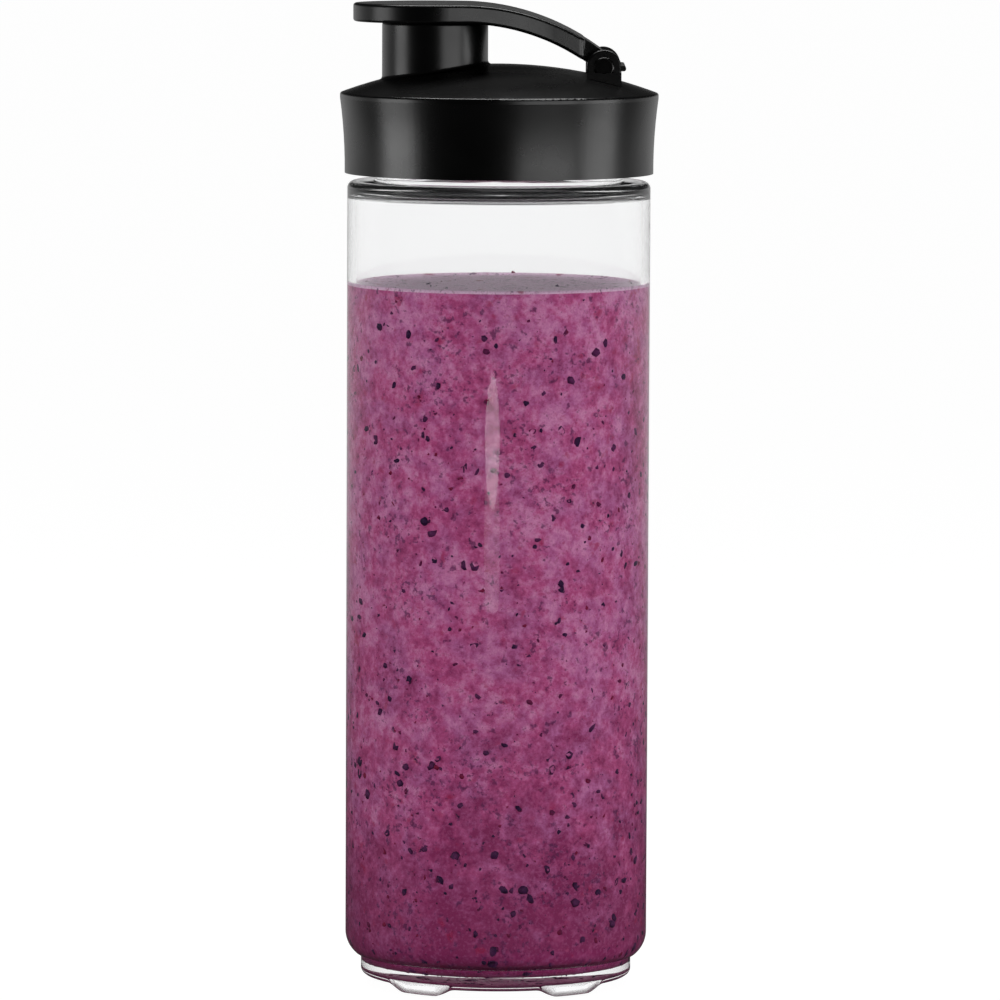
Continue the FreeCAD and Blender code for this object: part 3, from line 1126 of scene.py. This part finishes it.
@dataclass
class LidSet:
    """The lid, its cap, pin, seal and gasket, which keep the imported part's shapes."""

    black: MouldedFinish = MouldedFinish(
        "satin_black_plastic", (0.0025, 0.0025, 0.0027), (0.05, 0.05, 0.052), 0.26, 0.04)
    pin: MouldedFinish = MouldedFinish(
        "smooth_black_plastic", (0.0025, 0.0025, 0.0027), (0.05, 0.05, 0.052), 0.18, 0.03,
        bump=0.05)
    silicone: MouldedFinish = MouldedFinish(
        "black_silicone", (0.02, 0.02, 0.021), (0.12, 0.12, 0.12), 0.6, 0.08, specular=0.35)

    def dress(self, finishes: Finishes) -> list[str]:
        """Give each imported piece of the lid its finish.

        Args:
            finishes: the shared groups.

        Returns:
            The names of the dressed pieces.
        """
        black = self.black.material(finishes)
        pin = self.pin.material(finishes)
        silicone = self.silicone.material(finishes)
        looks = {"lid": black, "flip_cap": black, "hinge_pin": pin, "lid_gasket": silicone,
                 "spout_seal": silicone}
        for node, material in looks.items():
            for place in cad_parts[node].material_slots:
                place.material = material
        return list(looks)


# ---------------------------------------------------------------- the studio


BLACK_PARTS = ("lid", "flip_cap", "hinge_pin", "lid_gasket", "spout_seal")
DRINK_PARTS = ("smoothie_body", "smoothie_skins", "smoothie_pulp")
CLEAR_PARTS = ("bottle_clear",)


class Side(Enum):
    """Where a lamp stands, as degrees round from the front towards +X."""

    LEFT = -79.0
    RIGHT = 79.0
    FRONT = -4.0
    FRONT_RIGHT = 36.0
    OVERHEAD = 180.0


@dataclass(frozen=True)
class Softbox:
    """A soft lamp that faces the object and lights only the named pieces, or all. Metres."""

    name: str
    side: Side
    rise_deg: float
    distance: float
    width: float
    height: float
    radiance: float
    lights: tuple[str, ...] = ()
    shape: str = "RECTANGLE"

    def build(self, target: Vector) -> bpy.types.Object:
        """Hang the lamp.

        Args:
            target: the point that it faces.

        Returns:
            The lamp.
        """
        turn, rise = math.radians(self.side.value), math.radians(self.rise_deg)
        towards = Vector((math.sin(turn) * math.cos(rise), -math.cos(turn) * math.cos(rise),
                          math.sin(rise)))
        data = bpy.data.lights.new(self.name, "AREA")
        data.shape = self.shape
        data.size, data.size_y = self.width, self.height
        data.energy = self.radiance * math.pi * self.width * self.height
        lamp = bpy.data.objects.new(self.name, data)
        lamp.location = target + towards * self.distance
        lamp.rotation_euler = towards.to_track_quat("Z", "Y").to_euler()
        lamp.visible_camera = False
        lamp.visible_transmission = False
        bpy.context.scene.collection.objects.link(lamp)
        if self.lights:
            lit = bpy.data.collections.new(self.name + "_lights")
            for name in self.lights:
                lit.objects.link(bpy.data.objects[name])
            lamp.light_linking.receiver_collection = lit
        return lamp


@dataclass
class Studio:
    """Pale floor, white surroundings, soft lamps and the camera. Metres."""

    floor_size: float = 40.0
    floor_seen: float = 0.16
    floor_unseen: float = 0.12
    floor_glow: float = 0.985
    floor_sweep: Ring = (0.1, 1.4)
    sweep_glow: float = 0.45
    room_glow: float = 0.015
    sweep_behind: Ring = (0.35, 0.85)
    sweep_low: Ring = (0.16, 0.02)
    target: Vector = field(default_factory=lambda: Vector((0.0, 0.0, 0.13)))
    softboxes: tuple[Softbox, ...] = (
        Softbox("softbox_left", Side.LEFT, 8.6, 0.95, 0.50, 0.22, 10.0, DRINK_PARTS),
        Softbox("softbox_right", Side.RIGHT, 7.0, 0.95, 0.50, 0.26, 11.5, DRINK_PARTS),
        Softbox("softbox_fill", Side.FRONT_RIGHT, 11.4, 1.3, 1.05, 0.46, 4.2, DRINK_PARTS),
        Softbox("softbox_front", Side.FRONT, 12.0, 1.3, 0.80, 0.50, 3.2, DRINK_PARTS),
        Softbox("softbox_top", Side.OVERHEAD, 78.0, 0.8, 0.8, 0.25, 5.0),
        Softbox("lid_left", Side.LEFT, -1.8, 0.95, 0.50, 0.22, 2.4, BLACK_PARTS),
        Softbox("lid_right", Side.RIGHT, -1.8, 0.95, 0.50, 0.22, 2.3, BLACK_PARTS),
        Softbox("lid_fill", Side.FRONT_RIGHT, 1.0, 1.3, 1.05, 0.30, 1.6, BLACK_PARTS),
        Softbox("streak", Side.FRONT, -4.6, 0.9, 0.17, 0.045, 2.6, CLEAR_PARTS, "ELLIPSE"),
        Softbox("trail", Side.FRONT, -6.9, 0.9, 0.18, 0.07, 0.8, CLEAR_PARTS, "ELLIPSE"),
    )
    camera_at: tuple[float, float, float] = (0.000578, -1.8753, 0.29069)
    look_down_deg: float = 5.3402
    roll_deg: float = 0.25
    lens: float = 284.06
    sensor: float = 36.0

    def seen_mask(self, tree: Tree) -> bpy.types.NodeSocket:
        """One where the eye looks, directly or through clear plastic, and zero for other rays.

        Args:
            tree: the tree to work in.

        Returns:
            The mask's socket.
        """
        path = tree.add("ShaderNodeLightPath").outputs
        through = tree.math("MINIMUM", path["Transmission Depth"], 1.0)
        scattered = tree.math("MINIMUM", path["Diffuse Depth"], 1.0)
        through = tree.math("SUBTRACT", through, scattered, clamp=True)
        return tree.math("MAXIMUM", path["Is Camera Ray"], through)

    def floor(self) -> bpy.types.Object:
        """Lay the floor.

        Returns:
            The floor.
        """
        half = self.floor_size / 2
        mesh = bpy.data.meshes.new("floor")
        mesh.from_pydata([(-half, -half, 0), (half, -half, 0), (half, half, 0), (-half, half, 0)],
                         [], [(0, 1, 2, 3)])
        material = bpy.data.materials.new("pale_floor")
        material.use_nodes = True
        tree = Tree(material.node_tree)
        where = tree.add("ShaderNodeTexCoord").outputs["Object"]
        back = tree.add("ShaderNodeSeparateXYZ", {0: where}).outputs["Y"]
        lit = tree.math("MULTIPLY", tree.ramp(back, *self.floor_sweep), self.sweep_glow)
        sides = []
        for grey, strength in ((self.floor_unseen, lit), (self.floor_seen, self.floor_glow)):
            plain = tree.add("ShaderNodeBsdfDiffuse", {"Color": (grey, grey, grey, 1.0)})
            glow = tree.add("ShaderNodeEmission", {"Color": WHITE, "Strength": strength})
            sides.append(tree.add("ShaderNodeAddShader", {0: plain.outputs[0],
                                                          1: glow.outputs[0]}))
        mixed = tree.add("ShaderNodeMixShader", {
            0: self.seen_mask(tree), 1: sides[0].outputs[0], 2: sides[1].outputs[0]})
        tree.add("ShaderNodeOutputMaterial", {"Surface": mixed.outputs[0]})
        floor = new_piece("floor", mesh, material)
        return floor

    def surroundings(self) -> None:
        """White where the eye looks, and a lit sweep behind the object in a dark room."""
        world = bpy.data.worlds.new("studio")
        world.use_nodes = True
        bpy.context.scene.world = world
        tree = Tree(world.node_tree)
        towards = tree.add("ShaderNodeTexCoord").outputs["Generated"]
        split = tree.add("ShaderNodeSeparateXYZ", {0: towards}).outputs
        sweep = tree.math("MULTIPLY", tree.ramp(split["Y"], *self.sweep_behind),
                          tree.ramp(split["Z"], *self.sweep_low))
        room = tree.math("MULTIPLY_ADD", sweep, self.sweep_glow, self.room_glow)
        strength = tree.math("MAXIMUM", room, self.seen_mask(tree))
        light = tree.add("ShaderNodeBackground", {"Color": WHITE, "Strength": strength})
        tree.add("ShaderNodeOutputWorld", {"Surface": light.outputs[0]})

    def camera(self) -> bpy.types.Object:
        """Set up the camera.

        Returns:
            The camera.
        """
        data = bpy.data.cameras.new("camera")
        data.lens, data.sensor_width = self.lens, self.sensor
        data.clip_end = 100.0
        camera = bpy.data.objects.new("camera", data)
        tilt = Matrix.Rotation(math.radians(90.0 - self.look_down_deg), 4, "X")
        roll = Matrix.Rotation(math.radians(self.roll_deg), 4, "Z")
        camera.matrix_world = Matrix.Translation(self.camera_at) @ tilt @ roll
        bpy.context.scene.collection.objects.link(camera)
        bpy.context.scene.camera = camera
        return camera

    def build(self) -> None:
        """Set up the whole studio."""
        bpy.context.scene.view_settings.view_transform = "Standard"
        self.floor()
        self.surroundings()
        for softbox in self.softboxes:
            softbox.build(self.target)
        self.camera()


def main() -> None:
    """Build every piece in order."""
    logging.basicConfig(level=logging.INFO, format="%(name)s: %(message)s")
    finishes = Finishes()
    bottle = ClearBottle().build(ClearFinish(), finishes)
    log.info("%s: %d faces", bottle.name, len(bottle.data.polygons))
    smoothie = Smoothie()
    drink = smoothie.build(SmoothieFinish(), finishes)
    log.info("%s: %d faces", drink.name, len(drink.data.polygons))
    for piece in Fruit(smoothie).build(finishes):
        log.info("%s: %d faces", piece.name, len(piece.data.polygons))
    log.info("dressed %s", ", ".join(LidSet().dress(finishes)))
    Studio().build()


if __name__ == "__main__":
    main()
